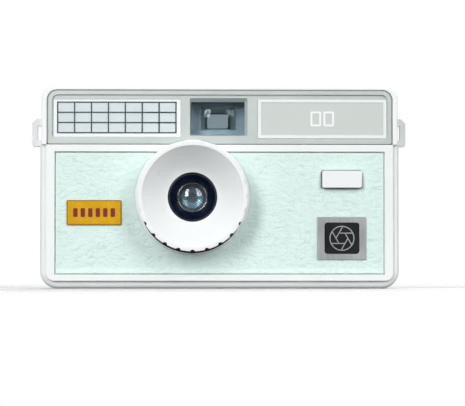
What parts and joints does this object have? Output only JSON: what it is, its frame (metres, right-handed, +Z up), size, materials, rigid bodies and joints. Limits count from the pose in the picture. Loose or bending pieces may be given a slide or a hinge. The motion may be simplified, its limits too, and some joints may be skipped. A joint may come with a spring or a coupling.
{
  "type": "half frame film camera",
  "caption": "Compact half frame film camera with a dished lens ring, cell-style grid, viewfinder, thumbwheel advance, pop-up flash, hinged back and folding rewind crank",
  "frame": {"origin": "on the resting face, in the middle of the camera's overall width and depth", "axes": "+X to the right seen from the front, along the width; the lens points along -Y; +Z up"},
  "size_m": [0.1252, 0.046, 0.0666],
  "materials": {
    "cream_white_plastic": "satin moulded",
    "grey_white_plastic": "satin moulded",
    "ring_white_plastic": "satin",
    "mint_leatherette": "wrinkled grain",
    "yellow_badge_enamel": "glossy",
    "silver_fascia": "silver satin",
    "black_plastic": "glossy",
    "dark_plastic": "matt",
    "cell_white": "matt",
    "clear_window": "polished",
    "optical_glass": "coated",
    "lamp_orange": "translucent",
    "steel": "bright",
    "gear_acetal": "natural",
    "board_green": "solder mask",
    "capacitor_sleeve": "shrink sleeve",
    "reflector_metal": "bright"
  },
  "bodies": {
    "body": {"body_shell": "grey_white_plastic", "front_frame": "cream_white_plastic", "leatherette": "mint_leatherette", "colour_badge": "yellow_badge_enamel", "emblem_plate": "silver_fascia", "top_cover": "cream_white_plastic", "fascia": "silver_fascia", "cell_plate": "cell_white", "cell_window": "clear_window", "nameplate": "silver_fascia", "finder_window": "clear_window", "finder_housing": "dark_plastic", "finder_front_lens": "optical_glass", "finder_rear_lens": "optical_glass", "eyepiece": "black_plastic", "lens_ring": "ring_white_plastic", "lens_retainer": "black_plastic", "taking_lens": "optical_glass", "lens_barrel": "dark_plastic", "aperture_plate": "steel", "chassis": "dark_plastic", "cassette_chamber": "dark_plastic", "light_box": "dark_plastic", "battery_box": "dark_plastic", "counter_window": "clear_window", "ready_lamp": "lamp_orange", "circuit_board": "board_green", "flash_capacitor": "capacitor_sleeve", "battery_contact": "steel", "strap_lugs": "grey_white_plastic", "body_screws": "steel", "hinge_pin": "steel", "shutter_spring": "steel", "flash_button_spring": "steel", "flash_lift_spring": "steel"},
    "release": {"shutter_button": "silver_fascia", "release_bar": "dark_plastic"},
    "blade": {"shutter_blade": "steel"},
    "front_button": {"flash_button": "ring_white_plastic"},
    "flash": {"flash_cap": "ring_white_plastic", "flash_housing": "gear_acetal", "flash_reflector": "reflector_metal", "flash_tube": "optical_glass", "flash_diffuser": "clear_window"},
    "advance": {"advance_wheel": "cream_white_plastic", "takeup_spool": "dark_plastic"},
    "idler": {"idler_gear": "gear_acetal"},
    "film_sprocket": {"sprocket": "gear_acetal"},
    "counter": {"counter_dial": "cell_white"},
    "rewind": {"rewind_hub": "grey_white_plastic", "rewind_fork": "gear_acetal"},
    "crank": {"rewind_crank": "grey_white_plastic"},
    "release_pin": {"rewind_release": "dark_plastic"},
    "back": {"back_door": "cream_white_plastic", "light_seal": "dark_plastic", "plate_spring": "steel"},
    "film_plate": {"pressure_plate": "dark_plastic"},
    "latch": {"door_latch": "grey_white_plastic"},
    "battery_lid": {"battery_door": "cream_white_plastic", "battery_spring": "steel"}
  },
  "joints": [
    {"name": "shutter_press", "type": "slide", "parent": "body", "child": "release", "axis": [0, 0, -1], "range_m": [0, 0.002], "stiffness_N_per_m": 500, "springref_m": -0.0008, "deforming": ["shutter_spring"]},
    {"name": "shutter_swing", "type": "hinge", "parent": "body", "child": "blade", "pos_m": [-0.0152, -0.0042, 0.03], "axis": [0, -1, 0], "range_deg": [0, 35]},
    {"name": "flash_press", "type": "slide", "parent": "body", "child": "front_button", "axis": [0, 1, 0], "range_m": [0, 0.001], "stiffness_N_per_m": 700, "springref_m": -0.0006, "deforming": ["flash_button_spring"]},
    {"name": "flash_lift", "type": "slide", "parent": "body", "child": "flash", "axis": [0, 0, 1], "range_m": [0, 0.009], "deforming": ["flash_lift_spring"]},
    {"name": "film_advance", "type": "hinge", "parent": "body", "child": "advance", "pos_m": [-0.042, 0.0091, 0.03], "axis": [0, 0, 1], "continuous": true},
    {"name": "idler_spin", "type": "hinge", "parent": "body", "child": "idler", "pos_m": [-0.03342, 0.00221, 0.052], "axis": [0, 0, 1], "continuous": true},
    {"name": "sprocket_spin", "type": "hinge", "parent": "body", "child": "film_sprocket", "pos_m": [-0.0256, 0.00995, 0.03], "axis": [0, 0, 1], "continuous": true},
    {"name": "counter_turn", "type": "hinge", "parent": "body", "child": "counter", "pos_m": [-0.021, 0.00105, 0.0608], "axis": [0, 0, 1], "continuous": true},
    {"name": "rewind_turn", "type": "hinge", "parent": "body", "child": "rewind", "pos_m": [0.0415, 0.0064, 0.0015], "axis": [0, 0, 1], "continuous": true},
    {"name": "crank_flip", "type": "hinge", "parent": "rewind", "child": "crank", "pos_m": [0.0478, 0.0064, 0.00095], "axis": [0, -1, 0], "range_deg": [0, 140]},
    {"name": "rewind_unlock", "type": "slide", "parent": "body", "child": "release_pin", "axis": [0, 0, 1], "range_m": [0, 0.0014], "stiffness_N_per_m": 200, "springref_m": -0.0006},
    {"name": "door_swing", "type": "hinge", "parent": "body", "child": "back", "pos_m": [-0.0572, 0.0192, 0.026], "axis": [0, 0, 1], "range_deg": [0, 110]},
    {"name": "plate_press", "type": "slide", "parent": "back", "child": "film_plate", "axis": [0, 1, 0], "range_m": [0, 0.0008], "stiffness_N_per_m": 400, "springref_m": -0.0005, "deforming": ["plate_spring"]},
    {"name": "latch_slide", "type": "slide", "parent": "body", "child": "latch", "axis": [0, 0, -1], "range_m": [0, 0.0035], "stiffness_N_per_m": 200, "springref_m": -0.001},
    {"name": "battery_hinge", "type": "hinge", "parent": "body", "child": "battery_lid", "pos_m": [0.0195, -0.0046, 0.001], "axis": [-1, 0, 0], "range_deg": [0, 95]}
  ],
  "couplings": [
    {"joint": "shutter_swing", "follows": "shutter_press", "rad_per_m": 305},
    {"joint": "idler_spin", "follows": "film_advance", "ratio": -1.2},
    {"joint": "sprocket_spin", "follows": "film_advance", "ratio": 1},
    {"joint": "counter_turn", "follows": "film_advance", "ratio": -0.025}
  ]
}
